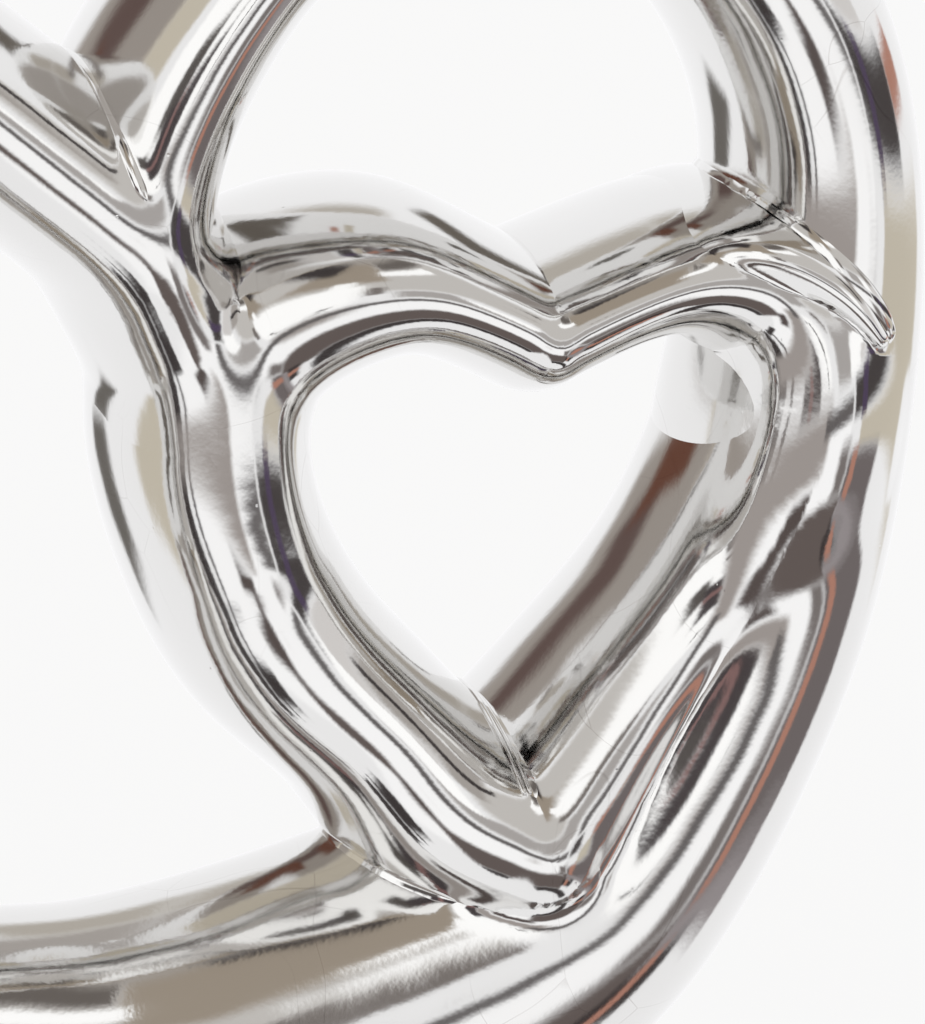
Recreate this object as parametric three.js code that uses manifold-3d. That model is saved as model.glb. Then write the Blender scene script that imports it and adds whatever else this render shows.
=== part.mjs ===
// Hollow ceramic heart sculpture: one large open heart with a small open heart luted inside its right lobe.
// Millimetres, +Z up, front at -Y, origin on the table under the middle of the base.
import * as THREE from "three";
import Module from "manifold-3d";

const wasm = await Module();
wasm.setup();
const { Manifold, Mesh } = wasm;

// Sizes that drive every piece
const HALF_SPAN = 115; // from the middle to the centreline of each flank
const CROWN = 197.2; // height of the right lobe's centreline
const HALF_TUBE = 15; // half width of a flank, in the plane of the heart
const HALF_DEPTH = 29.6; // half of the large heart's front-to-back depth
const HEART_PROUD = 0.4; // the small heart stands this far proud of the large one
const WALL = 5; // slip-cast wall
const LUTE = 0.3; // slip joint between two castings
const JOINT_X = 60; // where each flank meets the base
const PLATE = 5; // thickness of the slab in the underside
const PLATE_HALF = 48; // half length of that slab
const VENT_RADIUS = 4;
const SLIP = 1.7; // how far a slip bead reaches onto both castings
const PAD_RADIUS = 5;
const PAD_HEIGHT = 1.5;
const PAD_X = 36;
const PAD_INSET = 18.6; // from the foot's front or back to the middle of a pad
const FIT_DEPTH = 6; // the cut that fits the small heart to the flank passes the crests by this much
const FACET = 8; // facet length round a casting, round the foot and round the hollow inside
const FOOT_FACET = 6;
const HOLLOW_FACET = 11.4;
const FAR = 600; // longer than anything here, for cutting blocks

const JOINT_TOP = CROWN / 2; // no joint plane cuts above the middle of the heart
const HEART_HALF_DEPTH = HALF_DEPTH + HEART_PROUD;
const PAD_Y = HALF_DEPTH - PAD_INSET;

// Centrelines as shares of the sizes above: across, up, and half width of the tube
const NOTCH = [0.13, 0.712, 0.94];
const RIGHT_LOBE = [
  NOTCH,
  [0.146, 0.794, 0.85],
  [0.23, 0.889, 0.76],
  [0.37, 0.969, 0.75],
  [0.579, 1.0, 0.81],
  [0.79, 0.969, 0.88],
  [0.936, 0.883, 0.95],
  [0.996, 0.776, 0.96],
];
const LEFT_LOBE = [
  NOTCH,
  [-0.009, 0.794, 0.93],
  [-0.205, 0.886, 0.91],
  [-0.417, 0.948, 0.91],
  [-0.617, 0.966, 0.92],
  [-0.8, 0.936, 0.93],
  [-0.93, 0.862, 0.95],
  [-0.994, 0.768, 0.96],
];
const RIGHT_FLANK = [
  [1.0, 0.669, 1.01],
  [0.977, 0.559, 1.05],
  [0.928, 0.444, 1.12],
  [0.836, 0.323, 1.17],
  [0.717, 0.224, 1.31],
  [0.591, 0.175, 1.61],
  [0.395, 0.124, 1.85],
  [0.099, 0.073, 2.07],
];
const LEFT_FLANK = [
  [-1.0, 0.669, 1.01],
  [-0.977, 0.559, 1.05],
  [-0.928, 0.444, 1.1],
  [-0.838, 0.325, 1.13],
  [-0.715, 0.22, 1.2],
  [-0.57, 0.158, 1.47],
  [-0.375, 0.108, 1.8],
  [-0.099, 0.073, 2.07],
];
const HEART_NOTCH = [0.616, 0.65, 0.67];
const HEART_TIP = [0.603, 0.278, 0.96];
const HEART_LEFT = [
  HEART_NOTCH,
  [0.517, 0.679, 0.71],
  [0.438, 0.69, 0.81],
  [0.349, 0.684, 0.91],
  [0.263, 0.645, 0.97],
  [0.222, 0.584, 1.01],
  [0.244, 0.504, 0.99],
  [0.317, 0.422, 0.99],
  [0.416, 0.362, 0.95],
  [0.506, 0.315, 0.95],
  HEART_TIP,
];
const HEART_RIGHT = [
  HEART_NOTCH,
  [0.766, 0.685, 0.63],
  [0.872, 0.685, 0.81],
  [0.936, 0.664, 0.98],
  [0.957, 0.631, 1.11],
  [0.945, 0.568, 1.03],
  [0.897, 0.497, 0.91],
  [0.814, 0.431, 0.83],
  [0.734, 0.374, 0.85],
  [0.667, 0.324, 0.92],
  HEART_TIP,
];
const FRAME_RIGHT = [...RIGHT_LOBE, ...RIGHT_FLANK];
const FRAME_LEFT = [...LEFT_LOBE, ...LEFT_FLANK];
const BASE = [...RIGHT_FLANK.slice(3), ...LEFT_FLANK.slice(3).reverse()];

// Shapes and solids
function solid(geometry) {
  const g = geometry.index ? geometry.toNonIndexed() : geometry;
  const mesh = new Mesh({
    numProp: 3,
    vertProperties: new Float32Array(g.getAttribute("position").array),
    triVerts: Uint32Array.from({ length: g.getAttribute("position").count }, (_, i) => i),
  });
  mesh.merge();
  return new Manifold(mesh);
}

function place([x, z, w]) {
  return new THREE.Vector3(x * HALF_SPAN, w * HALF_TUBE, z * CROWN);
}

// A tube of elliptical section along a flat path; grow is added to both half axes
function tube(rows, halfDepth, grow, round) {
  const curve = new THREE.CatmullRomCurve3(rows.map(place), false, "centripetal");
  const steps = (rows.length - 1) * 3;
  const points = [];
  for (let i = 0; i <= steps; i++) {
    const at = curve.getPoint(i / steps);
    const along = curve.getTangent(i / steps);
    const across = new THREE.Vector3(-along.z, 0, along.x).normalize();
    for (let k = 0; k < round; k++) {
      const turn = (2 * Math.PI * k) / round;
      const out = (at.y + grow) * Math.cos(turn);
      points.push([at.x + across.x * out, (halfDepth + grow) * Math.sin(turn), at.z + across.z * out]);
    }
  }
  const faces = [];
  for (let i = 0; i < steps; i++)
    for (let k = 0; k < round; k++) {
      const a = i * round + k;
      const b = i * round + ((k + 1) % round);
      faces.push(a, a + round, b, b, a + round, b + round);
    }
  for (let k = 1; k < round - 1; k++) {
    faces.push(0, k, k + 1);
    faces.push(steps * round, steps * round + k + 1, steps * round + k);
  }
  const g = new THREE.BufferGeometry();
  g.setAttribute("position", new THREE.Float32BufferAttribute(points.flat(), 3));
  g.setIndex(faces);
  return solid(g);
}

// The rounded end of a tube, where two halves of a heart meet in a mitre
function knuckle(row, halfDepth, grow, round) {
  const at = place(row);
  const g = new THREE.SphereGeometry(1, round, round / 2);
  g.rotateX(Math.PI / 2);
  g.scale(at.y + grow, halfDepth + grow, at.y + grow);
  g.translate(at.x, 0, at.z);
  return solid(g);
}

function block(x0, x1, z0, z1, halfY = FAR) {
  const g = new THREE.BoxGeometry(x1 - x0, 2 * halfY, z1 - z0);
  g.translate((x0 + x1) / 2, 0, (z0 + z1) / 2);
  return solid(g);
}

// Everything on the right-hand side of the line from one point to another, seen from the front
function rightOf(from, to, shift) {
  const a = place(from);
  const b = place(to);
  const g = new THREE.BoxGeometry(FAR, 2 * FAR, 2 * FAR);
  g.translate(FAR / 2 + shift, 0, 0);
  g.rotateY(Math.atan2(b.x - a.x, b.z - a.z));
  g.translate(a.x, 0, a.z);
  return solid(g);
}

function largest(made) {
  return made.decompose().sort((a, b) => b.volume() - a.volume())[0];
}

// Outer bodies, each with an extra skin for clearances and slip
function facets(a, b, length) {
  const girth = Math.PI * (3 * (a + b) - Math.sqrt((3 * a + b) * (a + 3 * b)));
  return 2 * Math.round(girth / (2 * length));
}
const OUTSIDE = facets(HALF_TUBE, HALF_DEPTH, FACET);
const FOOT_OUTSIDE = facets(RIGHT_FLANK.at(-1)[2] * HALF_TUBE, HALF_DEPTH, FOOT_FACET);
const INSIDE = facets(HALF_TUBE - WALL, HALF_DEPTH - WALL, HOLLOW_FACET);
const frameRight = (grow, round = OUTSIDE) =>
  tube(FRAME_RIGHT, HALF_DEPTH, grow, round).add(knuckle(NOTCH, HALF_DEPTH, grow, round));
const frameLeft = (grow, round = OUTSIDE) =>
  tube(FRAME_LEFT, HALF_DEPTH, grow, round).add(knuckle(NOTCH, HALF_DEPTH, grow, round));
const baseTube = (grow, round = FOOT_OUTSIDE) => tube(BASE, HALF_DEPTH, grow, round);
const heart = (rows) => (grow, round = OUTSIDE) =>
  tube(rows, HEART_HALF_DEPTH, grow, round)
    .add(knuckle(HEART_NOTCH, HEART_HALF_DEPTH, grow, round))
    .add(knuckle(HEART_TIP, HEART_HALF_DEPTH, grow, round));
const heartLeft = heart(HEART_LEFT);
const heartRight = heart(HEART_RIGHT);

// The mitre in the notch leans between the two lobes
const NOTCH_TOP = [NOTCH[0] - 0.075, NOTCH[1] + 0.12, NOTCH[2]];
const hollow = (body) => body(0).subtract(body(-WALL, INSIDE));
const belowJoint = (x0, x1) => block(x0, x1, -FAR, JOINT_TOP);
const underside = block(-FAR, FAR, -FAR, PAD_HEIGHT);

// Large heart: two flanks and the base between them
const frame_right = hollow(frameRight)
  .subtract(rightOf(NOTCH_TOP, NOTCH, LUTE / 2))
  .subtract(belowJoint(-FAR, JOINT_X + LUTE / 2));
const frame_left = hollow(frameLeft)
  .subtract(rightOf(NOTCH, NOTCH_TOP, -LUTE / 2))
  .subtract(belowJoint(-JOINT_X - LUTE / 2, FAR));
const base = baseTube(0)
  .subtract(baseTube(-WALL))
  .subtract(belowJoint(JOINT_X - LUTE / 2, FAR))
  .subtract(belowJoint(-FAR, -JOINT_X + LUTE / 2))
  .subtract(underside);

// Slab in the open underside, with the vent that lets air out in the kiln
const vent = new THREE.CylinderGeometry(VENT_RADIUS, VENT_RADIUS, FAR, 24).rotateX(Math.PI / 2);
const base_plate = baseTube(-WALL - LUTE)
  .intersect(block(-PLATE_HALF, PLATE_HALF, PAD_HEIGHT, PAD_HEIGHT + PLATE))
  .subtract(solid(vent));

// Small heart: two halves that meet in line with its notch and tip, cut to fit the large heart
const largeHeart = frameRight(LUTE).add(frameLeft(LUTE)).add(baseTube(LUTE));
const small_heart_left = largest(
  hollow(heartLeft)
    .subtract(rightOf(HEART_TIP, HEART_NOTCH, -LUTE / 2))
    .subtract(largeHeart),
);
const proudCut = tube(FRAME_RIGHT, HALF_DEPTH + FIT_DEPTH, LUTE, OUTSIDE);
const small_heart_right = largest(
  hollow(heartRight)
    .subtract(rightOf(HEART_NOTCH, HEART_TIP, -LUTE / 2))
    .subtract(proudCut)
    .subtract(largeHeart),
);

// Slip beads: what lies close to both castings, outside both, and behind their front and back crests
const beadSpan = block(-FAR, FAR, -FAR, FAR, HALF_DEPTH - SLIP);
const bead = (a, b) =>
  a(SLIP).intersect(b(SLIP)).subtract(a(LUTE)).subtract(b(LUTE)).intersect(beadSpan);
const notchZ = place(NOTCH).z;
const tip = place(HEART_TIP);
const notch_seam = largest(
  bead(frameRight, frameLeft)
    .intersect(block(-FAR, FAR, notchZ + HALF_TUBE / 2, FAR))
    .subtract(heartLeft(LUTE)),
);
const heart_tip_seam = largest(
  bead(heartLeft, heartRight).intersect(block(0, FAR, tip.z + HALF_TUBE / 3, tip.z + 3 * HALF_TUBE)),
);
const base_corner_seam = largest(
  bead(heartLeft, baseTube)
    .intersect(block(0, JOINT_X - LUTE, 0, tip.z + 2 * HALF_TUBE))
    .subtract(frameRight(LUTE)),
);
const shoulder_seam = largest(
  bead(heartRight, frameRight).intersect(
    block(tip.x + HALF_TUBE, FAR, place(HEART_NOTCH).z + HALF_TUBE / 3, notchZ + 2 * HALF_TUBE),
  ),
);

// Felt pads under the slab
function pad(x, y) {
  const g = new THREE.CylinderGeometry(PAD_RADIUS, PAD_RADIUS, PAD_HEIGHT, 24).rotateX(Math.PI / 2);
  return solid(g.translate(x, y, PAD_HEIGHT / 2));
}

const silver = new THREE.MeshStandardMaterial({ color: 0xc9cbd0, metalness: 1, roughness: 0.08 });
const biscuit = new THREE.MeshStandardMaterial({ color: 0xe8e2d6, metalness: 0, roughness: 0.8 });
const felt = new THREE.MeshStandardMaterial({ color: 0x2c2c2e, metalness: 0, roughness: 1 });

const sculpture = new THREE.Group();
function put(name, made, material) {
  const m = made.getMesh();
  const positions = new Float32Array(m.numVert * 3);
  for (let i = 0; i < m.numVert; i++)
    positions.set(m.vertProperties.subarray(i * m.numProp, i * m.numProp + 3), i * 3);
  const g = new THREE.BufferGeometry();
  g.setAttribute("position", new THREE.BufferAttribute(positions, 3));
  g.setIndex(new THREE.BufferAttribute(m.triVerts, 1));
  g.computeVertexNormals();
  const mesh = new THREE.Mesh(g, material);
  mesh.name = name;
  sculpture.add(mesh);
}

put("frame_right", frame_right, silver);
put("frame_left", frame_left, silver);
put("base", base, silver);
put("base_plate", base_plate, biscuit);
put("small_heart_left", small_heart_left, silver);
put("small_heart_right", small_heart_right, silver);
put("notch_seam", notch_seam, silver);
put("heart_tip_seam", heart_tip_seam, silver);
put("base_corner_seam", base_corner_seam, silver);
put("shoulder_seam", shoulder_seam, silver);
put("foot_pad_1", pad(-PAD_X, -PAD_Y), felt);
put("foot_pad_2", pad(PAD_X, -PAD_Y), felt);
put("foot_pad_3", pad(PAD_X, PAD_Y), felt);
put("foot_pad_4", pad(-PAD_X, PAD_Y), felt);

export default sculpture;
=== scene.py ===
import math

import bmesh
import bpy
import numpy as np
from mathutils import Matrix, Vector


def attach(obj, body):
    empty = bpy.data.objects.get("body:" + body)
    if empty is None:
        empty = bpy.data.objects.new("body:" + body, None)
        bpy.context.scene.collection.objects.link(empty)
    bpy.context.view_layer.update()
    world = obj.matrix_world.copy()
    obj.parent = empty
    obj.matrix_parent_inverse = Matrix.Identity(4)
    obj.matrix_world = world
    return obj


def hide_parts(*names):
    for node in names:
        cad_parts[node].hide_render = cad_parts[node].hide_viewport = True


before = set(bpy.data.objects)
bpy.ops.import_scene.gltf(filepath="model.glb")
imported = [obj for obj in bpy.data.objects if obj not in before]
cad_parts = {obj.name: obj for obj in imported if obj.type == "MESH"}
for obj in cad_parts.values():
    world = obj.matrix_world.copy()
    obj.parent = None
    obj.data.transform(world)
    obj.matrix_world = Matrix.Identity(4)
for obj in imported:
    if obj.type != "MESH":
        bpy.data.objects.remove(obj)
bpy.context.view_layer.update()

# Camera
# A long lens a little to the left of the small heart and a little above it, as in the photograph.
# The frame is taken as 925 by 1024 pixels, at 7 pixels to a millimetre on the sculpture's middle plane.
aim = Vector((0.064, 0.0, 0.0995))
turn, tilt, reach = math.radians(13.8), math.radians(12.0), 1.3
sight = Vector((math.sin(turn) * math.cos(tilt), math.cos(turn) * math.cos(tilt), -math.sin(tilt)))
camera_data = bpy.data.cameras.new("studio_camera")
camera = bpy.data.objects.new("studio_camera", camera_data)
bpy.context.scene.collection.objects.link(camera)
camera.location = aim - sight * reach
camera.rotation_euler = sight.to_track_quat("-Z", "Y").to_euler()
sensor, frame_height = 36.0, 1.024 / 7
camera_data.sensor_fit = "VERTICAL"
camera_data.sensor_height = sensor
camera_data.lens = sensor * reach / frame_height
bpy.context.scene.camera = camera
bpy.context.scene.view_settings.view_transform = "Standard"


# Right flank of the large heart
# A hollow slip casting from the notch over the right lobe and down to the foot, in earthenware that is
# glazed and plated mirror silver. Slip lutes it to the left flank, the foot and the small heart.

# Centreline of the whole large heart, clockwise from the notch, in mm: across, up, half width, half depth
large_heart_rows = [
    (20.6, 127.0, 7.8, 23.5),
    (16.8, 137.0, 10.2, 28.4),
    (14.8, 147.0, 11.7, 30.2),
    (16.5, 157.5, 12.2, 30.2),
    (26.4, 175.4, 11.3, 29.9),
    (42.6, 191.1, 11.2, 29.8),
    (66.6, 197.2, 12.1, 29.7),
    (90.9, 191.0, 13.2, 29.6),
    (107.6, 174.1, 14.3, 29.5),
    (114.5, 153.0, 14.3, 29.3),
    (114.4, 131.9, 15.7, 29.2),
    (111.0, 110.6, 17.2, 29.5),
    (106.7, 87.6, 16.8, 28.6),
    (96.1, 63.7, 17.6, 29.4),
    (82.4, 44.2, 19.7, 29.4),
    (68.0, 35.0, 24.4, 29.1),
    (45.4, 24.9, 27.8, 29.0),
    (11.4, 14.3, 31.1, 29.2),
    (-11.4, 14.4, 31.0, 29.4),
    (-43.1, 21.3, 27.0, 29.5),
    (-65.6, 31.2, 22.0, 29.6),
    (-82.2, 43.4, 18.0, 29.6),
    (-96.4, 64.1, 17.0, 29.6),
    (-106.7, 87.6, 16.5, 29.6),
    (-112.4, 110.2, 15.8, 29.6),
    (-115.0, 131.9, 15.2, 29.6),
    (-114.3, 151.4, 14.4, 29.6),
    (-107.0, 170.0, 14.2, 29.6),
    (-92.0, 184.6, 14.0, 29.7),
    (-71.0, 190.5, 13.8, 29.9),
    (-48.0, 186.9, 13.6, 30.2),
    (-23.6, 174.7, 13.6, 30.5),
    (-1.0, 156.8, 14.0, 30.8),
    (12.4, 144.6, 13.6, 30.9),
    (18.4, 134.4, 13.4, 29.2),
    (22.9, 125.2, 13.9, 28.3),
    (24.95, 115.8, 15.15, 28.0),
    (26.0, 107.5, 14.85, 28.2),
    (28.1, 99.3, 14.1, 28.5),
]


def centreline(rows, step):
    """Natural cubic spline through the rows, as stations of x, z, half width, half depth and heading."""
    rows = np.array(rows, float)
    spans = np.sqrt(np.hypot(*np.diff(rows[:, :2], axis=0).T))
    knots = np.concatenate([[0.0], np.cumsum(spans)])
    system = np.eye(len(rows))
    load = np.zeros_like(rows)
    for i in range(1, len(rows) - 1):
        system[i, i - 1:i + 2] = spans[i - 1], 2 * (spans[i - 1] + spans[i]), spans[i]
        load[i] = 6 * ((rows[i + 1] - rows[i]) / spans[i] - (rows[i] - rows[i - 1]) / spans[i - 1])
    bend = np.linalg.solve(system, load)
    u = np.linspace(0, knots[-1], 200 * len(rows))
    i = np.clip(np.searchsorted(knots, u, side="right") - 1, 0, len(spans) - 1)
    h = spans[i][:, None]
    a = (knots[i + 1] - u)[:, None]
    b = (u - knots[i])[:, None]
    fine = (bend[i] * a**3 + bend[i + 1] * b**3) / (6 * h)
    fine += (rows[i] / h - bend[i] * h / 6) * a + (rows[i + 1] / h - bend[i + 1] * h / 6) * b
    run = np.concatenate([[0.0], np.cumsum(np.hypot(*np.diff(fine[:, :2], axis=0).T))])
    at = np.linspace(0, run[-1], int(run[-1] / step) + 1)
    path = np.stack([np.interp(at, run, fine[:, k]) for k in range(4)], 1)
    heading = np.stack([np.interp(at, run, np.gradient(fine[:, k], run)) for k in range(2)], 1)
    heading /= np.linalg.norm(heading, axis=1)[:, None]
    return np.hstack([path, heading])


def sweep(places, sides):
    """A ring swept through places, each a matrix in mm: a grid rolled up and closed at both ends."""
    bm = bmesh.new()
    bmesh.ops.create_grid(bm, x_segments=sides, y_segments=len(places) - 1, size=1.0)
    verts = bm.verts[:]
    rings = [verts[k:k + sides + 1] for k in range(0, len(verts), sides + 1)]
    turns = [2 * math.pi * k / sides for k in range(sides)]
    ring = [Vector((math.cos(turn), math.sin(turn), 0)) for turn in turns + turns[:1]]
    for place, row in zip(places, rings):
        for v, spot in zip(row, ring):
            v.co = (place @ spot) * 0.001
    bmesh.ops.weld_verts(bm, targetmap={row.pop(): row[0] for row in rings})
    bmesh.ops.holes_fill(bm, edges=[e for e in bm.edges if e.is_boundary], sides=0)
    bmesh.ops.recalc_face_normals(bm, faces=bm.faces[:])
    return bm, rings


def bend_limits(path):
    """How far to either side each section may reach before the sections of a tight bend would cross."""
    shares = np.linspace(0.02, 1.0, 50)
    neighbours = 3
    limits = []
    for side in (1, -1):
        out = side * shares[None] * path[:, 2:3]
        px = path[:, 0:1] - path[:, 5:6] * out
        pz = path[:, 1:2] + path[:, 4:5] * out
        near = np.argmin((px[..., None] - path[:, 0]) ** 2 + (pz[..., None] - path[:, 1]) ** 2, axis=2)
        clear = np.abs(near - np.arange(len(path))[:, None]) <= neighbours
        first = np.where(clear.all(1), len(shares) - 1, np.argmin(clear, axis=1) - 1)
        limits.append(shares[np.clip(first, 0, None)] * path[:, 2])
    return limits


def cast_tube(path, round_start, round_end, sides=144):
    """An elliptical tube along a centreline, with rounded or flat ends, eased where the bend is tight."""
    end_rings, smallest, no_limit = 18, 0.02, (99, 99)
    stations = list(zip(path, zip(*bend_limits(path))))
    for end, step, rounded in ((0, 1, round_start), (-1, -1, round_end)):
        row = path[end]
        for s in np.sin(np.linspace(0, math.pi / 2, end_rings))[1:] if rounded else ():
            tip = row.copy()
            tip[:2] -= step * row[4:] * row[2] * s
            tip[2:4] *= max(math.sqrt(1 - s * s), smallest)
            stations.insert(0 if step > 0 else len(stations), (tip, no_limit))
    places = []
    for (x, z, width, depth, hx, hz), _ in stations:
        places.append(Matrix(((-hz * width, 0, hx, x), (0, depth, 0, 0),
                              (hx * width, 0, hz, z), (0, 0, 0, 1))))
    bm, rings = sweep(places, sides)
    close, rounds = 1.5, 8
    eased = []
    for verts, ((x, z, width, depth, hx, hz), (left, right)) in zip(rings, stations):
        if min(left, right) > width - 0.05:
            continue
        for v in verts:
            out = hx * (v.co.z * 1000 - z) - hz * (v.co.x * 1000 - x)
            over = out - min(max(out, -right), left)
            v.co.x += hz * over * 0.001
            v.co.z -= hx * over * 0.001
            if abs(over) > 0.01 or min(left - out, out + right) < close:
                eased.append(v)
    for _ in range(rounds if eased else 0):
        bmesh.ops.smooth_vert(bm, verts=eased, factor=0.5, use_axis_x=True, use_axis_z=True)
    return bm


def finish_piece(bm, name, material, slot, *nodes, flat=()):
    """Turns a bmesh into a piece that rides on the sculpture and stands for its nodes.
    It is shaded smooth, except for the flat faces and those with more than four corners."""
    for face in bm.faces:
        face.smooth = len(face.verts) < 5 and face not in flat
    for edge in bm.edges:
        edge.smooth = all(face.smooth for face in edge.link_faces)
    mesh = bpy.data.meshes.new(name)
    bm.to_mesh(mesh)
    bm.free()
    mesh.materials.append(material)
    piece = bpy.data.objects.new(name, mesh)
    bpy.context.scene.collection.objects.link(piece)
    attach(piece, "root")
    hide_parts(*nodes)
    return piece


def node(tree, kind, inputs=(), **settings):
    """Adds a shader node with its settings. Each input, by name or number, is linked or set."""
    made = tree.nodes.new("ShaderNode" + kind)
    for name, value in settings.items():
        setattr(made, name, value)
    for name, value in dict(inputs).items():
        if isinstance(value, bpy.types.NodeSocket):
            tree.links.new(value, made.inputs[name])
        else:
            made.inputs[name].default_value = value
    return made


# Plated glaze: slow waves and a fine orange peel in the glaze, pinholes, patches of hairline crazing
silver = bpy.data.materials.new("mirror_silver_plate")
silver.use_nodes = True
tree = silver.node_tree
bsdf = tree.nodes["Principled BSDF"]
at = node(tree, "TexCoord").outputs["Object"]
wave = node(tree, "TexNoise", {"Vector": at, "Scale": 70.0, "Detail": 1.0}).outputs["Fac"]
peel = node(tree, "TexNoise", {"Vector": at, "Scale": 1100.0, "Detail": 1.5}).outputs["Fac"]
cloud = node(tree, "TexNoise", {"Vector": at, "Scale": 22.0, "Detail": 2.0})
cells = node(tree, "TexVoronoi", {"Vector": at, "Scale": 250.0})
pick = node(tree, "SeparateColor", {0: cells.outputs["Color"]}).outputs["Red"]
pick = node(tree, "Math", {0: pick, 1: 0.7}, operation="GREATER_THAN").outputs[0]
pit = node(tree, "MapRange", {"Value": cells.outputs["Distance"], "From Min": 0.02, "From Max": 0.06,
                              "To Min": 1.0, "To Max": 0.0}).outputs["Result"]
pit = node(tree, "Math", {0: pit, 1: pick}, operation="MULTIPLY").outputs[0]
height = node(tree, "Math", {0: pit, 1: -0.015, 2: 0.0}, operation="MULTIPLY_ADD").outputs[0]
height = node(tree, "Math", {0: peel, 1: 0.007, 2: height}, operation="MULTIPLY_ADD").outputs[0]
height = node(tree, "Math", {0: wave, 1: 0.16, 2: height}, operation="MULTIPLY_ADD").outputs[0]
bump = node(tree, "Bump", {"Height": height, "Strength": 1.0, "Distance": 0.001}).outputs["Normal"]
tree.links.new(bump, bsdf.inputs["Normal"])
bent = node(tree, "VectorMath", {0: cloud.outputs["Color"], 1: (0.02, 0.02, 0.02), 2: at},
            operation="MULTIPLY_ADD").outputs[0]
craze = node(tree, "TexVoronoi", {"Vector": bent, "Scale": 60.0}, feature="DISTANCE_TO_EDGE")
craze = node(tree, "MapRange", {"Value": craze.outputs["Distance"], "From Min": 0.0, "From Max": 0.005,
                                "To Min": 1.0, "To Max": 0.0}).outputs["Result"]
patch = node(tree, "MapRange", {"Value": cloud.outputs["Fac"], "From Min": 0.5, "From Max": 0.6,
                                "To Min": 0.0, "To Max": 0.3}).outputs["Result"]
craze = node(tree, "Math", {0: craze, 1: patch}, operation="MULTIPLY").outputs[0]
bright, warm, crack = (0.80, 0.795, 0.785, 1), (0.76, 0.752, 0.738, 1), (0.3, 0.27, 0.25, 1)
tint = node(tree, "Mix", {"Factor": cloud.outputs["Fac"], "A": bright, "B": warm}, data_type="RGBA")
tint = node(tree, "Mix", {"Factor": craze, "A": tint.outputs["Result"], "B": crack}, data_type="RGBA")
tree.links.new(tint.outputs["Result"], bsdf.inputs["Base Color"])
gloss = node(tree, "MapRange", {"Value": cloud.outputs["Fac"], "From Min": 0.3, "From Max": 0.7,
                                "To Min": 0.06, "To Max": 0.11}).outputs["Result"]
tree.links.new(gloss, bsdf.inputs["Roughness"])
bsdf.inputs["Metallic"].default_value = 1.0

# The flanks are cut from the foot this far from the middle, in mm
foot_reach = 60
large_heart = centreline(large_heart_rows, 0.9)
low = large_heart[:, 1] < foot_reach
joint_right = int(np.argmax((large_heart[:, 0] < foot_reach) & low))
joint_left = int(np.argmax((large_heart[:, 0] < -foot_reach) & low))
right_half = large_heart[:(joint_right + joint_left) // 2]
left_half = large_heart[(joint_right + joint_left) // 2:]
bm = cast_tube(large_heart[:joint_right + 1], True, False)
right_flank = finish_piece(bm, "right_flank_casting", silver, "silver_plate", "frame_right")


# Left flank of the large heart
# The other hollow casting, over the left lobe, from the foot to the notch, plated like the right one.
# It runs into the small heart's left limb, where the slip is pressed into a short fold.
bm = cast_tube(large_heart[joint_left:], False, True)
left_flank = finish_piece(bm, "left_flank_casting", silver, "silver_plate", "frame_left")


# Foot
# The thick hollow casting between the flanks, plated as they are. Its lower edge is cut flat and
# fettled at the height of the pads, and the recess inside the rim takes the slab.
under, rim_width, recess = 0.0015, 0.005, 0.0053
bm = cast_tube(large_heart[joint_right:joint_left + 1], False, False, 240)
bmesh.ops.bisect_plane(bm, geom=bm.verts[:] + bm.edges[:] + bm.faces[:], plane_co=(0, 0, under),
                       plane_no=(0, 0, -1), clear_outer=True)
cut = bmesh.ops.holes_fill(bm, edges=[e for e in bm.edges if e.is_boundary], sides=0)["faces"]
bmesh.ops.recalc_face_normals(bm, faces=bm.faces[:])
outer = set(bm.faces) - set(cut)
bmesh.ops.inset_region(bm, faces=cut, thickness=rim_width, use_even_offset=True)
sunk = bmesh.ops.extrude_face_region(bm, geom=cut)["geom"]
bmesh.ops.delete(bm, geom=cut, context="FACES_ONLY")
sunk = [g for g in sunk if isinstance(g, bmesh.types.BMVert)]
bmesh.ops.translate(bm, verts=sunk, vec=(0, 0, recess))
foot = finish_piece(bm, "foot_casting", silver, "silver_plate", "base", flat=set(bm.faces) - outer)


# Small heart, left half
# A hollow casting from the small heart's notch down its left limb to its tip, luted to the flanks
# above, to the foot below and to the right half along the middle.
heart_left = centreline([
    (70.8, 128.2, 10.0, 29.5),
    (59.4, 133.8, 10.6, 30.1),
    (50.4, 136.1, 12.4, 30.4),
    (40.2, 134.5, 13.9, 29.6),
    (29.4, 127.9, 15.4, 27.8),
    (25.2, 115.4, 15.4, 28.0),
    (28.1, 99.3, 14.9, 29.3),
    (36.5, 83.2, 14.9, 30.0),
    (47.8, 71.4, 14.0, 30.1),
    (57.5, 60.7, 14.9, 30.9),
    (69.6, 54.8, 15.4, 31.4),
], 0.7)
bm = cast_tube(heart_left, True, True, 192)
small_heart_left = finish_piece(bm, "small_heart_left_casting", silver, "silver_plate",
                                "small_heart_left")


# Small heart, right half
# The matching hollow casting on the right. Its limb turns down beside the flank and runs together with
# it, and above the turn a leaf of the same casting reaches over the flank to a blunt point.
def add_shape(bm, other):
    """Adds another bmesh's shape to a bmesh, after its own vertices."""
    mesh = bpy.data.meshes.new("shape")
    other.to_mesh(mesh)
    other.free()
    bm.from_mesh(mesh)
    bpy.data.meshes.remove(mesh)


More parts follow.
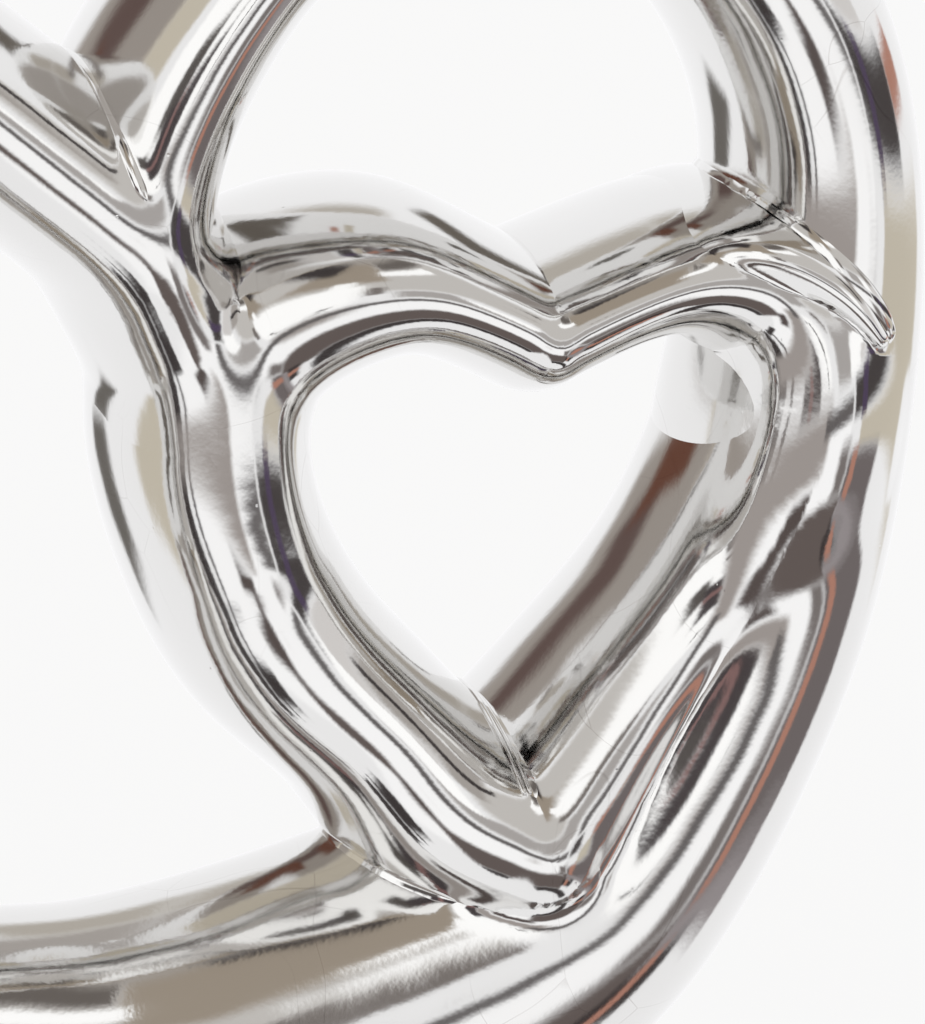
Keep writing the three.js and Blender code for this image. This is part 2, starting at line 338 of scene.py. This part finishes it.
heart_right = centreline([
    (70.8, 128.2, 10.0, 29.5),
    (87.5, 134.6, 9.6, 28.7),
    (97.0, 135.4, 11.2, 28.6),
    (104.8, 132.2, 12.3, 28.8),
    (109.2, 125.4, 13.0, 29.2),
    (109.6, 116.0, 13.8, 29.3),
    (106.4, 105.0, 13.8, 28.4),
    (101.4, 95.4, 13.4, 26.8),
    (93.6, 84.9, 12.4, 26.0),
    (84.4, 73.7, 12.8, 27.2),
    (76.7, 63.9, 13.8, 29.5),
    (69.6, 54.8, 15.4, 31.4),
], 0.7)
leaf = centreline([
    (90.0, 138.4, 6.0, 24.0),
    (99.0, 139.6, 7.6, 28.4),
    (106.8, 137.4, 8.2, 30.3),
    (113.0, 132.8, 6.8, 31.0),
    (117.2, 127.6, 4.4, 30.6),
], 0.7)
bm = cast_tube(heart_right, True, True, 192)
limb_size = len(bm.verts)
add_shape(bm, cast_tube(leaf, True, True))
small_heart_right = finish_piece(bm, "small_heart_right_casting", silver, "silver_plate",
                                 "small_heart_right")


# Luting
# Slip fills the angle between two castings and is wiped to a fillet before the glaze: tight in the
# groove and at the mitres, broad where one limb runs on into another.
def crest_height(path, x, z):
    """How far a tube's skin stands in front of the middle plane at points across and up, in mm.
    Beside the tube it falls below zero, by the slope given here for each half width."""
    margin, slope, away, batch = 25, 60, -99.0, 4000
    high = np.full(len(x), away)
    low, top = path[:, :2].min(axis=0) - margin, path[:, :2].max(axis=0) + margin
    close = np.flatnonzero((x > low[0]) & (x < top[0]) & (z > low[1]) & (z < top[1]))
    for some in np.array_split(close, len(close) // batch + 1):
        near = np.argmin((x[some, None] - path[:, 0]) ** 2 + (z[some, None] - path[:, 1]) ** 2, axis=1)
        row = path[near]
        px, pz = x[some] - row[:, 0], z[some] - row[:, 1]
        end = (near == 0) | (near == len(path) - 1)
        beside = np.where(end, np.hypot(px, pz), np.abs(px * row[:, 5] - pz * row[:, 4])) / row[:, 2]
        inside = row[:, 3] * np.sqrt(np.clip(1 - beside * beside, 0, None))
        high[some] = np.where(beside < 1, inside, -slope * (beside - 1))
    return high


def soft_step(value):
    """A share that rises smoothly from none at 0 to all at 1."""
    share = np.clip(value, 0, 1)
    return share * share * (3 - 2 * share)


def slip_share(high):
    """How much of a fillet a skin takes at a height over the middle plane: none on the voids' walls."""
    wall, turn = 19, 6
    return soft_step((high - wall) / turn)


def lute(piece, *joined):
    """Lifts a casting's skin into the slip fillets at its neighbours. Each is given with a fillet size in
    mm and, if it meets only some of the skin, the first and last vertex. The skin takes the fillet's
    normals, and behind a neighbour's skin it sinks away."""
    give, most = 0.8, 40
    mesh = piece.data
    co = np.empty(len(mesh.vertices) * 3)
    mesh.vertices.foreach_get("co", co)
    co = co.reshape(-1, 3) * 1000
    own = np.abs(co[:, 1])
    rise = np.zeros(len(co))
    sink = np.zeros(len(co))
    for path, fillet, *span in joined:
        some = slice(*span) if span else slice(len(co))
        size = fillet(co[some, 2]) if callable(fillet) else fillet
        over = crest_height(path, co[some, 0], co[some, 2]) - own[some]
        lift = size * np.log1p(np.exp(np.clip(over / size, -most, most)))
        rise[some] = np.maximum(rise[some], lift)
        behind = np.maximum(over, 0)
        sink[some] = np.maximum(sink[some], give * behind * behind / (behind + give))
    fade = np.sign(co[:, 1]) * slip_share(own)
    co[:, 1] += rise * fade
    mesh.vertices.foreach_set("co", (co * 0.001).ravel())
    mesh.update()
    corner = np.empty(len(mesh.loops), int)
    mesh.loops.foreach_get("vertex_index", corner)
    sides, smooth = np.empty(len(mesh.polygons), int), np.empty(len(mesh.polygons), bool)
    area, facing = np.empty(len(mesh.polygons)), np.empty(len(mesh.polygons) * 3)
    for name, values in (("loop_total", sides), ("use_smooth", smooth), ("area", area),
                         ("normal", facing)):
        mesh.polygons.foreach_get(name, values)
    facing = np.repeat(facing.reshape(-1, 3), sides, axis=0)
    skin = np.zeros_like(co)
    np.add.at(skin, corner, facing * np.repeat(area * smooth, sides)[:, None])
    skin /= np.maximum(np.linalg.norm(skin, axis=1), 1e-12)[:, None]
    co[:, 1] -= sink * fade
    mesh.vertices.foreach_set("co", (co * 0.001).ravel())
    mesh.update()
    shown = np.where(np.repeat(smooth, sides)[:, None], skin[corner], facing)
    mesh.normals_split_custom_set(shown.tolist())


def tip_fillet(z):
    """Broad under the small heart's tip and tight above it."""
    tip_top, blend = 72, 18
    return 1.0 + soft_step((tip_top - z) / blend)


def shoulder_fillet(z):
    """As at the tip, but broad again between the groove and the shoulder."""
    broad, groove_top, shoulder = 4.6, 81, 112
    return tip_fillet(z) + broad * soft_step((z - groove_top) / 28) * (1 - soft_step((z - shoulder) / 34))


notch_fillet, fold_fillet, mitre_fillet, leaf_fillet = 1.6, 1.8, 0.7, 0.6
lute(right_flank, (left_half, notch_fillet), (heart_left, tip_fillet), (heart_right, shoulder_fillet),
     (leaf, leaf_fillet))
lute(left_flank, (right_half, notch_fillet), (heart_left, fold_fillet))
lute(foot, (heart_left, tip_fillet), (heart_right, shoulder_fillet))
lute(small_heart_left, (right_half, tip_fillet), (left_half, fold_fillet), (heart_right, mitre_fillet))
lute(small_heart_right, (right_half, shoulder_fillet, 0, limb_size),
     (heart_left, mitre_fillet, 0, limb_size), (leaf, leaf_fillet, 0, limb_size),
     (right_half, leaf_fillet, limb_size, None), (heart_right, leaf_fillet, limb_size, None))


# Notch bead
# A raised line of slip in the large heart's notch, pulled along the seam with a finger from the back
# crest through the void's corner to the front crest, and plated with the castings.
def front_skin(x, z, fillet):
    """How far the luted castings stand in front of the middle plane at points across and up."""
    tubes = (right_half, left_half, heart_left, heart_right, leaf)
    high = np.array([crest_height(tube, x, z) for tube in tubes])
    top = high.max(axis=0)
    return top + fillet * np.log(np.exp((high - top) / fillet).sum(axis=0)) * slip_share(top)


def slip_bead(rows, one, other, fillet, shift=0.0):
    """A line of slip along the seam of two tubes, from a void's corner onto the front and onto the back.
    The rows hold points across and up near the seam, half widths and heights over the fillet in mm."""
    reach, tries, away, blur = 8, 160, 99, 30
    path = centreline(rows, 0.05)
    aside = np.linspace(-reach, reach, tries + 1)
    x = path[:, 0:1] - path[:, 5:6] * aside
    z = path[:, 1:2] + path[:, 4:5] * aside
    apart = crest_height(one, x.ravel(), z.ravel()) - crest_height(other, x.ravel(), z.ravel())
    apart = apart.reshape(x.shape)
    crossed = np.where(apart[:, 1:] * apart[:, :-1] <= 0, np.abs(aside[1:] - reach / tries), away)
    best = np.argmin(crossed, axis=1)
    move = np.where(crossed.min(axis=1) < away, aside[best], np.nan)
    known = np.flatnonzero(~np.isnan(move))
    move = np.interp(np.arange(len(move)), known, move[known])
    evenly = np.ones(2 * blur + 1) / (2 * blur + 1)
    move = np.convolve(np.pad(move, blur, mode="edge"), evenly, mode="valid") + shift
    path[:, 0] -= path[:, 5] * move
    path[:, 1] += path[:, 4] * move
    high = front_skin(path[:, 0], path[:, 1], fillet)
    first = int(np.argmax(high > 0))
    line = np.insert(path[first:], 1, -np.clip(high[first:], 0, None), axis=1)
    line = np.concatenate([(line * (1, -1, 1, 1, 1, 1, 1))[:0:-1], line])
    run = np.concatenate([[0.0], np.cumsum(np.linalg.norm(np.diff(line[:, :3], axis=0), axis=1))])
    spacing, run_out, thickest, sunk = 0.4, 3.5, 1.2, 1.2
    stops = np.linspace(0, run[-1], int(run[-1] / spacing) + 2)
    line = np.stack([np.interp(stops, run, column) for column in line.T], 1)
    for _ in range(4):
        line[1:-1] = (line[:-2] + 2 * line[1:-1] + line[2:]) / 4
    ways = np.gradient(line[:, :3], axis=0)
    places = []
    for i, (x, y, z, width, lift, hx, hz) in enumerate(line):
        way = Vector(ways[i]).normalized()
        out = way.cross(Vector((-hz, 0, hx))).normalized()
        end = min(1.0, min(i, len(line) - 1 - i) * spacing / (run_out * width))
        taper = 0.5 + 0.5 * end
        thick = min(0.8 * width, thickest)
        place = Matrix((out.cross(way) * width * taper, out * thick * taper, way)).transposed().to_4x4()
        place.translation = Vector((x, y, z)) + out * (lift - thick * taper - sunk * (1 - end) ** 2)
        places.append(place)
    return sweep(places, 32)[0]


notch_line = [
    (5.6, 172.0, 1.3, 0.4),
    (7.1, 167.3, 1.3, 0.4),
    (10.2, 160.0, 1.3, 0.4),
    (13.4, 150.5, 1.1, 0.3),
]
bm = slip_bead(notch_line, left_half, right_half, notch_fillet)
finish_piece(bm, "notch_bead", silver, "silver_plate", "notch_seam")


# Tip bead
# A broad strip of slip in the small heart's tip, smoothed over the mitre of its two halves while wet.
# The tool's edge left two fine ridges on it, and it is plated with the castings.
tip_strip = [
    (67.6, 80.0, 2.2, 0.25),
    (67.6, 75.0, 2.4, 0.25),
    (68.2, 67.0, 2.8, 0.3),
    (69.3, 60.0, 2.4, 0.2),
]
tip_ridge = [
    (67.6, 80.0, 0.4, 0.5),
    (67.6, 75.0, 0.4, 0.5),
    (67.9, 68.0, 0.4, 0.45),
    (68.4, 64.0, 0.3, 0.4),
]
bm = slip_bead(tip_strip, heart_left, heart_right, mitre_fillet)
for shift in (-1.4, -0.5):
    add_shape(bm, slip_bead(tip_ridge, heart_left, heart_right, mitre_fillet, shift))
finish_piece(bm, "tip_bead", silver, "silver_plate", "heart_tip_seam")


# Corner bead
# The web of slip between the small heart's left limb and the foot, laid into the angle and wiped thin
# towards the groove, where it ends. It is plated with the castings.
corner_web = [
    (43.0, 57.0, 1.8, 0.4),
    (48.6, 53.2, 2.0, 0.45),
    (54.3, 48.8, 2.2, 0.4),
    (59.0, 45.6, 2.0, 0.2),
]
web_fillet = 2.0
bm = slip_bead(corner_web, heart_left, right_half, web_fillet)
finish_piece(bm, "corner_bead", silver, "silver_plate", "base_corner_seam")


# Shoulder bead
# A broad smooth strip of slip from the dome's corner along the upper edge of the leaf, which it holds
# down on the flank. It is plated with the castings.
shoulder_strip = [
    (97.0, 153.0, 1.9, 0.5),
    (102.0, 149.2, 2.0, 0.5),
    (107.5, 144.4, 2.1, 0.6),
    (114.0, 136.6, 2.0, 0.6),
    (118.4, 129.4, 1.6, 0.5),
    (120.2, 125.6, 1.2, 0.3),
]
bm = slip_bead(shoulder_strip, leaf, right_half, leaf_fillet)
finish_piece(bm, "shoulder_bead", silver, "silver_plate", "shoulder_seam")


# Foot slab
# The biscuit-fired slab that closes the underside, cut from rolled clay, with the hole that lets air out
# in the kiln. It is stuck into the recess and left unglazed.
biscuit = bpy.data.materials.new("biscuit")
biscuit.use_nodes = True
tree = biscuit.node_tree
bsdf = tree.nodes["Principled BSDF"]
at = node(tree, "TexCoord").outputs["Object"]
cloud = node(tree, "TexNoise", {"Vector": at, "Scale": 140.0, "Detail": 3.0}).outputs["Fac"]
pale_clay, tan_clay, grog_clay = (0.74, 0.67, 0.57, 1), (0.6, 0.52, 0.42, 1), (0.36, 0.27, 0.2, 1)
tint = node(tree, "Mix", {"Factor": cloud, "A": pale_clay, "B": tan_clay}, data_type="RGBA")
tint = tint.outputs["Result"]
grog = node(tree, "TexVoronoi", {"Vector": at, "Scale": 700.0}).outputs["Distance"]
grog = node(tree, "MapRange", {"Value": grog, "From Min": 0.1, "From Max": 0.2,
                               "To Min": 0.7, "To Max": 0.0}).outputs["Result"]
tint = node(tree, "Mix", {"Factor": grog, "A": tint, "B": grog_clay}, data_type="RGBA")
tree.links.new(tint.outputs["Result"], bsdf.inputs["Base Color"])
grain = node(tree, "TexNoise", {"Vector": at, "Scale": 900.0, "Detail": 4.0}).outputs["Fac"]
bump = node(tree, "Bump", {"Height": grain, "Strength": 0.6, "Distance": 0.0002}).outputs["Normal"]
tree.links.new(bump, bsdf.inputs["Normal"])
bsdf.inputs["Roughness"].default_value = 0.85
wall, slab_top, slab_reach, vent_radius = 5.3, under + 0.005, 0.048, 0.004
inner = large_heart[joint_right:joint_left + 1].copy()
inner[:, 2:4] -= wall
bm = cast_tube(inner, False, False)
for point, way in (((0, 0, under), (0, 0, -1)), ((0, 0, slab_top), (0, 0, 1)),
                   ((slab_reach, 0, 0), (1, 0, 0)), ((-slab_reach, 0, 0), (-1, 0, 0))):
    bmesh.ops.bisect_plane(bm, geom=bm.verts[:] + bm.edges[:] + bm.faces[:], plane_co=point, plane_no=way,
                           clear_outer=True)
    bmesh.ops.holes_fill(bm, edges=[e for e in bm.edges if e.is_boundary], sides=0)
level = [f for f in bm.faces if abs(f.normal.z) > 0.99 and len(f.verts) > 4]
bmesh.ops.delete(bm, geom=level, context="FACES_ONLY")
rims = []
for z in (under, slab_top):
    outline = [e for e in bm.edges if e.is_boundary and abs(e.verts[0].co.z - z) < 1e-6]
    hole = bmesh.ops.create_circle(bm, segments=48, radius=vent_radius,
                                   matrix=Matrix.Translation((0, 0, z)))["verts"]
    rim = list({e for v in hole for e in v.link_edges})
    bmesh.ops.triangle_fill(bm, edges=outline + rim, use_beauty=True)
    rims += rim
bmesh.ops.bridge_loops(bm, edges=rims)
bmesh.ops.recalc_face_normals(bm, faces=bm.faces[:])
slab = finish_piece(bm, "foot_slab", biscuit, "biscuit", "base_plate")
slab.data.shade_flat()


# Foot pads
# Four discs of black pressed felt, punched out with a slightly rounded lower edge and glued under the
# slab, so that the hard rim stays off the table.
felt = bpy.data.materials.new("pad_felt")
felt.use_nodes = True
tree = felt.node_tree
bsdf = tree.nodes["Principled BSDF"]
at = node(tree, "TexCoord").outputs["Object"]
fibre = node(tree, "TexNoise", {"Vector": at, "Scale": 1800.0, "Detail": 5.0,
                                "Distortion": 2.0}).outputs["Fac"]
soot, lint = (0.008, 0.008, 0.01, 1), (0.05, 0.05, 0.055, 1)
tint = node(tree, "Mix", {"Factor": fibre, "A": soot, "B": lint}, data_type="RGBA")
tree.links.new(tint.outputs["Result"], bsdf.inputs["Base Color"])
bump = node(tree, "Bump", {"Height": fibre, "Strength": 0.8, "Distance": 0.0004}).outputs["Normal"]
tree.links.new(bump, bsdf.inputs["Normal"])
bsdf.inputs["Roughness"].default_value = 0.95
pad_x, pad_y, pad_radius, pad_edge = 0.036, 0.011, 0.005, 0.0003
corners = ((-pad_x, -pad_y), (pad_x, -pad_y), (pad_x, pad_y), (-pad_x, pad_y))
for number, (x, y) in enumerate(corners, 1):
    bm = bmesh.new()
    bmesh.ops.create_cone(bm, cap_ends=True, segments=48, radius1=pad_radius, radius2=pad_radius,
                          depth=under, matrix=Matrix.Translation((x, y, under / 2)))
    edges = [e for e in bm.edges if abs(e.verts[0].co.z) < 1e-6 and abs(e.verts[1].co.z) < 1e-6]
    bmesh.ops.bevel(bm, geom=edges, offset=pad_edge, affect="EDGES", segments=3, profile=0.5, material=-1)
    finish_piece(bm, "foot_pad_%d" % number, felt, "felt", "foot_pad_%d" % number)


# Floor
# A plain pale table that runs far back, so that it is also the backdrop. It looks nearly white with the
# sculpture's shadow on it, and the plate reflects the studio instead of it.
bm = bmesh.new()
bmesh.ops.create_grid(bm, x_segments=1, y_segments=1, size=6.0)
floor_mesh = bpy.data.meshes.new("floor")
bm.to_mesh(floor_mesh)
bm.free()
floor = bpy.data.objects.new("floor", floor_mesh)
bpy.context.scene.collection.objects.link(floor)
floor.visible_glossy = False
pale = bpy.data.materials.new("pale_floor")
pale.use_nodes = True
tree = pale.node_tree
bsdf = tree.nodes["Principled BSDF"]
bsdf.inputs["Base Color"].default_value = (0.78, 0.775, 0.765, 1)
bsdf.inputs["Roughness"].default_value = 0.9
glow = node(tree, "Emission", {"Color": (1, 1, 1, 1), "Strength": 1.0})
whitened = 0.88
ray = node(tree, "LightPath").outputs["Is Camera Ray"]
seen = node(tree, "Math", {0: ray, 1: whitened}, operation="MULTIPLY")
mix = node(tree, "MixShader", {0: seen.outputs[0], 1: bsdf.outputs["BSDF"], 2: glow.outputs["Emission"]})
tree.links.new(mix.outputs["Shader"], tree.nodes["Material Output"].inputs["Surface"])
floor_mesh.materials.append(pale)


# Studio
# White backdrop, softboxes to the left and right of the camera, dark gaps between them and a dim
# ceiling, all as soft-edged panels given by their directions, which the mirror plate reflects.
world = bpy.data.worlds.new("studio")
bpy.context.scene.world = world
world.use_nodes = True
tree = world.node_tree

# One panel: a soft-edged box of directions, painted over what is behind it
panel = bpy.data.node_groups.new("studio_panel", "ShaderNodeTree")
for socket in ("Way", "Middle", "Full", "Faded"):
    panel.interface.new_socket(socket, in_out="INPUT", socket_type="NodeSocketVector")
for socket in ("Behind", "Colour"):
    panel.interface.new_socket(socket, in_out="INPUT", socket_type="NodeSocketColor")
panel.interface.new_socket("Paint", in_out="OUTPUT", socket_type="NodeSocketColor")
given = panel.nodes.new("NodeGroupInput").outputs
offset = node(panel, "VectorMath", {0: given["Way"], 1: given["Middle"]}, operation="SUBTRACT").outputs[0]
offset = node(panel, "VectorMath", {0: offset}, operation="ABSOLUTE").outputs[0]
ease = node(panel, "MapRange", {"Vector": offset}, data_type="FLOAT_VECTOR",
            interpolation_type="SMOOTHSTEP")
panel.links.new(given["Full"], ease.inputs["From Min"])
panel.links.new(given["Faded"], ease.inputs["From Max"])
ease.inputs["To Min"].default_value = (1, 1, 1)
ease.inputs["To Max"].default_value = (0, 0, 0)
parts = node(panel, "SeparateXYZ", {0: ease.outputs["Vector"]}).outputs
mask = node(panel, "Math", {0: parts["X"], 1: parts["Y"]}, operation="MULTIPLY").outputs[0]
layer = node(panel, "Mix", {"Factor": mask, "A": given["Behind"], "B": given["Colour"]}, data_type="RGBA")
panel.links.new(layer.outputs["Result"], panel.nodes.new("NodeGroupOutput").inputs["Paint"])

# A direction's bearing from the front to the right, and its height, both in degrees
split = node(tree, "SeparateXYZ", {0: node(tree, "TexCoord").outputs["Generated"]}).outputs
front = node(tree, "Math", {0: split["Y"], 1: -1.0}, operation="MULTIPLY").outputs[0]
bearing = node(tree, "Math", {0: split["X"], 1: front}, operation="ARCTAN2").outputs[0]
height = node(tree, "Math", {0: split["Z"]}, operation="ARCSINE").outputs[0]
way = node(tree, "CombineXYZ", {"X": bearing, "Y": height}).outputs[0]
way = node(tree, "VectorMath", {0: way, 1: (180 / math.pi,) * 3}, operation="MULTIPLY").outputs[0]

paint = node(tree, "RGB").outputs[0]
paint.default_value = (0.82, 0.82, 0.83, 1)
white, beige, dark = (1.0, 1.0, 1.0), (0.52, 0.475, 0.395), (0.045, 0.038, 0.038)
violet, copper, dusk = (0.075, 0.055, 0.095), (0.40, 0.2, 0.15), (0.36, 0.335, 0.315)
# Left, right, bottom and top in degrees, softness of the edge, colour
panels = [
    # ceiling and what hangs there
    (-80, 80, 26, 91, 4, (0.52, 0.50, 0.48)),
    (100, 181, 52, 91, 4, dusk),
    (-181, -100, 52, 91, 4, dusk),
    (-45, 6, 48, 84, 4, (0.31, 0.265, 0.215)),
    (4, 60, 58, 66, 2, white),
    (10, 75, 68, 84, 3, (0.13, 0.115, 0.105)),
    (-78, -30, 64, 86, 4, dark),
    (-23, -12, 38, 51, 2, white),
    (-181, 181, 80, 91, 5, (0.34, 0.315, 0.29)),
    # behind
    (158, 181, 38, 53, 4, (0.42, 0.39, 0.35)),
    (-181, -162, 38, 53, 4, (0.42, 0.39, 0.35)),
    (112, 154, 20, 29, 2, (0.12, 0.105, 0.09)),
    (-168, -163, 14, 46, 2, (0.2, 0.18, 0.17)),
    (-165, -122, 2, 34, 3, (0.3, 0.27, 0.245)),
    (-158, -144, 10, 26, 3, (0.11, 0.075, 0.068)),
    (-153, -134, 3, 13, 2, (0.12, 0.052, 0.035)),
    (-163, -150, -24, -10, 2, (0.13, 0.12, 0.11)),
    # left side
    (-124, -100, -30, 40, 3, beige),
    (-90, -79, -60, 6, 1, dark),
    (-73.5, -70.5, -60, 6, 0.8, dark),
    # left softbox and what stands below it
    (-88, -7, 7, 43, 3, white),
    (-64, -46, 17, 31, 3, (0.09, 0.08, 0.075)),
    (-56, -28, 4, 21, 2.5, (0.06, 0.05, 0.052)),
    (-47, -42, 4, 21, 1.5, (0.22, 0.13, 0.125)),
    (-70, 38, -48, -6, 3, (0.93, 0.93, 0.94)),
    (-90, -4, -15, 4, 5, (0.33, 0.30, 0.285)),
    (-14, 38, -5, 2, 2.5, (0.12, 0.11, 0.11)),
    (-78, -55, -56, -44, 3, dark),
    (-20, 48, -61, -32, 4, (0.12, 0.098, 0.092)),
    (-38, -14, -34, -20, 4, (0.09, 0.072, 0.068)),
    # front
    (-5, 2, 20, 36, 2, (0.16, 0.14, 0.13)),
    (6, 33, 7, 24, 3, (0.38, 0.36, 0.35)),
    (33, 52, 8, 20, 2, white),
    (-15.2, -12.4, 10.8, 13.2, 0.5, dark),
    (-14.6, -13.0, 7.6, 9.4, 0.5, dark),
    # right side
    (52, 90, 9, 19, 2, (0.62, 0.6, 0.59)),
    (56, 95, 20, 34, 3, dusk),
    (70, 76, 20, 40, 1.5, dark),
    (24, 42, -33, -14, 5, (0.18, 0.16, 0.155)),
    (42, 106, -6, 6, 2.5, (0.06, 0.052, 0.052)),
    (56, 66, -8, 7, 2, violet),
    (106, 126, -2, 4, 1.5, copper),
    (58, 132, -18, -8, 2.5, beige),
    (46, 98, -41, -30, 3, (0.28, 0.255, 0.26)),
    (44, 98, -33, -18, 3.5, (0.15, 0.13, 0.13)),
    (50, 60, -33, -18, 2.5, copper),
    (42, 70, -52, -40, 3, dark),
    (50, 58, -52, -40, 2, copper),
    (-20, 90, -68, -60, 1.5, dark),
]
for left, right, bottom, top, softness, colour in panels:
    wide, tall = (right - left) / 2, (top - bottom) / 2
    group = node(tree, "Group", node_tree=panel)
    for socket, value in (("Middle", (left + wide, bottom + tall, 0)),
                          ("Full", (wide - softness, tall - softness, -1)),
                          ("Faded", (wide + softness, tall + softness, 1)), ("Colour", (*colour, 1))):
        group.inputs[socket].default_value = value
    tree.links.new(way, group.inputs["Way"])
    tree.links.new(paint, group.inputs["Behind"])
    paint = group.outputs["Paint"]
lit = tree.nodes["Background"]
tree.links.new(paint, lit.inputs["Color"])
lit.inputs["Strength"].default_value = 1.25
plain = node(tree, "Background", {"Color": (1, 1, 1, 1), "Strength": 1.0})
ray = node(tree, "LightPath").outputs["Is Camera Ray"]
mix = node(tree, "MixShader", {0: ray, 1: lit.outputs["Background"], 2: plain.outputs["Background"]})
tree.links.new(mix.outputs["Shader"], tree.nodes["World Output"].inputs["Surface"])
